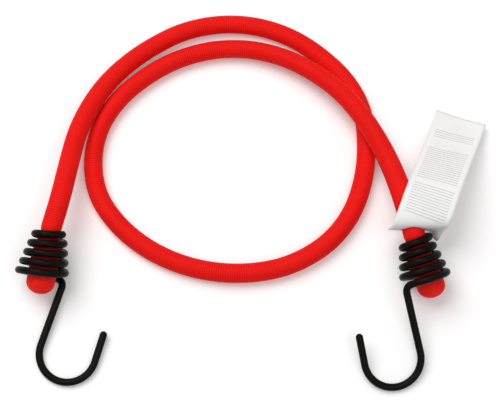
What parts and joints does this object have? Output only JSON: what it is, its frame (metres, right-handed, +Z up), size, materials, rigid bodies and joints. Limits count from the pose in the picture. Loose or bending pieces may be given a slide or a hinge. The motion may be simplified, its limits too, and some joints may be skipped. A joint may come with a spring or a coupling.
{
  "type": "bungee cord",
  "caption": "Covered elastic cord in a loose loop with a coiled wire hook on each swollen end and a bare tag threaded on the cord, for holding loads down.",
  "frame": {"origin": "on the table under the cord, at the middle of the loop's lower arc, on the cord's flat underside", "axes": "+X from the left hook to the right one, +Y from the hooks across the loop, +Z up from the table"},
  "size_m": [0.2256, 0.1869, 0.0252],
  "materials": {
    "cover_fabric": "woven",
    "core_rubber": "matte",
    "hook_wire": "satin",
    "tag_sheet": "matte"
  },
  "bodies": {
    "cord": {"cord_cover": "cover_fabric", "left_cord_end": "cover_fabric", "right_cord_end": "cover_fabric", "left_core_bulb": "core_rubber", "right_core_bulb": "core_rubber", "core_strand_1": "core_rubber", "core_strand_2": "core_rubber", "core_strand_3": "core_rubber", "core_strand_4": "core_rubber", "core_strand_5": "core_rubber", "core_strand_6": "core_rubber", "core_strand_7": "core_rubber"},
    "left_hook": {"left_hook": "hook_wire"},
    "right_hook": {"right_hook": "hook_wire"},
    "tag": {"tag": "tag_sheet"}
  },
  "joints": [
    {"name": "left_swivel", "type": "hinge", "parent": "cord", "child": "left_hook", "pos_m": [-0.08929, 0.0159, 0.01715], "axis": [0.1852, 0.953, 0.2399], "continuous": true},
    {"name": "right_swivel", "type": "hinge", "parent": "cord", "child": "right_hook", "pos_m": [0.08289, 0.0127, 0.01467], "axis": [-0.2365, 0.9484, 0.2112], "continuous": true},
    {"name": "tag_turn", "type": "hinge", "parent": "cord", "child": "tag", "pos_m": [0.08144, 0.01856, 0.01604], "axis": [0.2413, -0.9545, -0.1754], "range_deg": [0, 80]}
  ]
}
